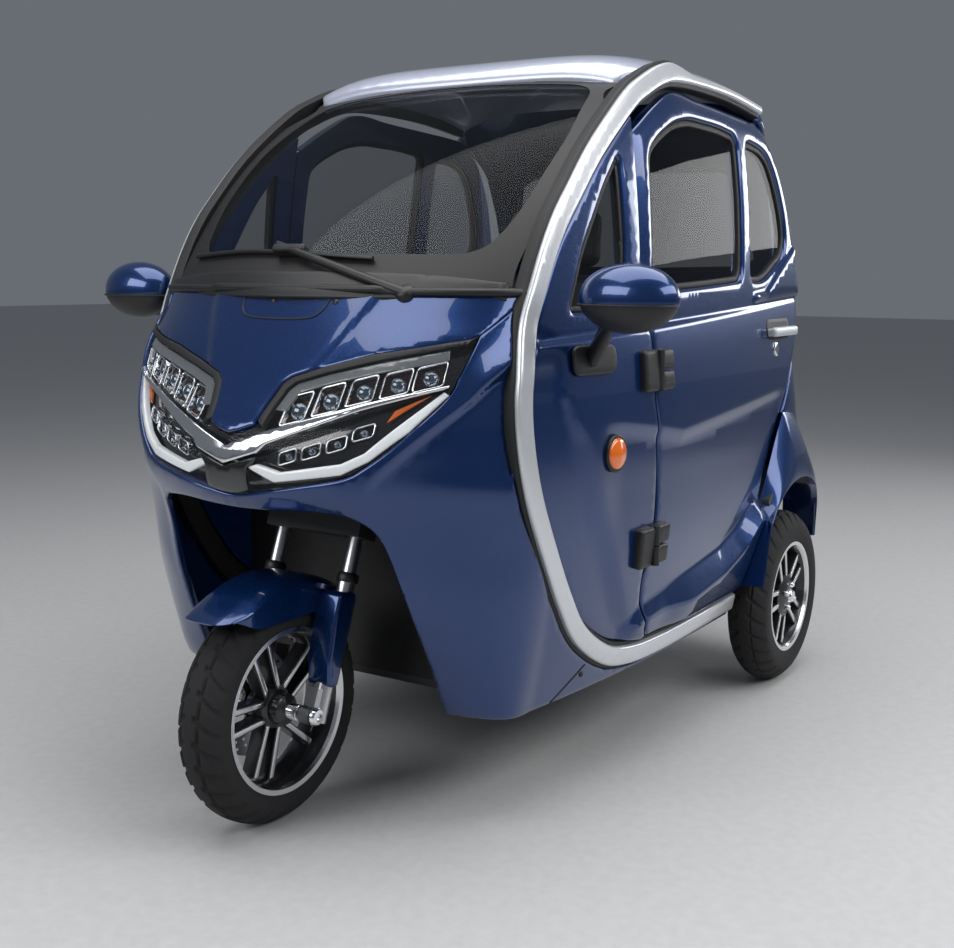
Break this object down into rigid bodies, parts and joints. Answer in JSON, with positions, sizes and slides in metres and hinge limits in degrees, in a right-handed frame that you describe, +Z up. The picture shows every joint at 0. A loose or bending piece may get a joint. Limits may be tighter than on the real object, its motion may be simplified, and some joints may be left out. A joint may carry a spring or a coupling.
{
  "type": "microcar",
  "caption": "Enclosed electric microcar on one steered front wheel and a pair of rear wheels, with a steep nose, V-shaped lamps, a bright band round the cabin side and front-hinged doors.",
  "frame": {"origin": "on the ground, under the middle of the bounding box", "axes": "+X forward along the car, +Y to the car's left, +Z up"},
  "size_m": [1.864, 1.38, 1.52],
  "materials": {
    "body_blue": "deep metallic blue, glossy clear coat",
    "roof_paint": "pale silver blue, glossy",
    "band_silver": "silver white, satin",
    "black_seal": "matt black rubber",
    "black_plastic": "matt black moulding",
    "chassis_black": "satin black coated steel",
    "lamp_clear": "clear lens over bright reflectors",
    "chrome": "polished",
    "glass": "clear automotive glass",
    "mirror": "mirror glass",
    "amber": "amber lens",
    "lamp_red": "red lens",
    "tyre": "black tyre rubber",
    "rim_alloy": "machined face with dark pockets",
    "fork_alloy": "satin cast alloy",
    "steel": "bare steel",
    "seat_cover": "black leathercloth",
    "battery_case": "dark grey case"
  },
  "bodies": {
    "body": {"floor_pan": "chassis_black", "front_liner": "black_plastic", "head_tube": "chassis_black", "nose_panel": "body_blue", "bonnet": "body_blue", "headlamps": "lamp_clear", "nose_bar": "chrome", "windscreen": "glass", "roof": "roof_paint", "seals": "black_seal", "bands": "band_silver", "side_panels": "body_blue", "corner_glass": "glass", "tail_panel": "body_blue", "rear_glass": "glass", "tail_lamps": "lamp_red", "fenders": "body_blue", "fender_liners": "black_plastic", "rear_bumper": "black_plastic", "wiper": "black_plastic", "mirror_arms": "black_plastic", "mirror_shells": "body_blue", "mirror_glass": "mirror", "side_lamps": "amber", "hinge_posts": "black_plastic", "dash": "black_plastic", "front_seat": "seat_cover", "rear_seat": "seat_cover", "battery_box": "battery_case", "rear_axle": "chassis_black", "springs": "steel"},
    "steering": {"fork_legs": "fork_alloy", "fork_crown": "chassis_black", "handlebar": "black_plastic", "front_axle": "steel", "mudguard": "body_blue", "brake_caliper": "chassis_black"},
    "front_wheel": {"front_tyre": "tyre", "front_rim": "rim_alloy", "brake_disc": "steel"},
    "rear_wheel_left": {"rear_tyre_left": "tyre", "rear_rim_left": "rim_alloy"},
    "rear_wheel_right": {"rear_tyre_right": "tyre", "rear_rim_right": "rim_alloy"},
    "left_door": {"door_left": "body_blue", "door_glass_left": "glass", "door_fittings_left": "black_plastic"},
    "right_door": {"door_right": "body_blue", "door_glass_right": "glass", "door_fittings_right": "black_plastic"}
  },
  "joints": [
    {"name": "steer", "type": "hinge", "parent": "body", "child": "steering", "pos_m": [0.51873, 0, 0.64211], "axis": [-0.3584, 0, 0.9336], "range_deg": [-35, 35]},
    {"name": "front_wheel_spin", "type": "hinge", "parent": "steering", "child": "front_wheel", "pos_m": [0.71, 0, 0.222], "axis": [0, 1, 0], "continuous": true},
    {"name": "rear_wheel_left_spin", "type": "hinge", "parent": "body", "child": "rear_wheel_left", "pos_m": [-0.694, 0.486, 0.221], "axis": [0, 1, 0], "continuous": true},
    {"name": "rear_wheel_right_spin", "type": "hinge", "parent": "body", "child": "rear_wheel_right", "pos_m": [-0.694, -0.486, 0.221], "axis": [0, 1, 0], "continuous": true},
    {"name": "left_door_swing", "type": "hinge", "parent": "body", "child": "left_door", "pos_m": [0.1, 0.512, 0.672], "axis": [0, 0, -1], "range_deg": [0, 68]},
    {"name": "right_door_swing", "type": "hinge", "parent": "body", "child": "right_door", "pos_m": [0.1, -0.512, 0.672], "axis": [0, 0, 1], "range_deg": [0, 68]}
  ]
}
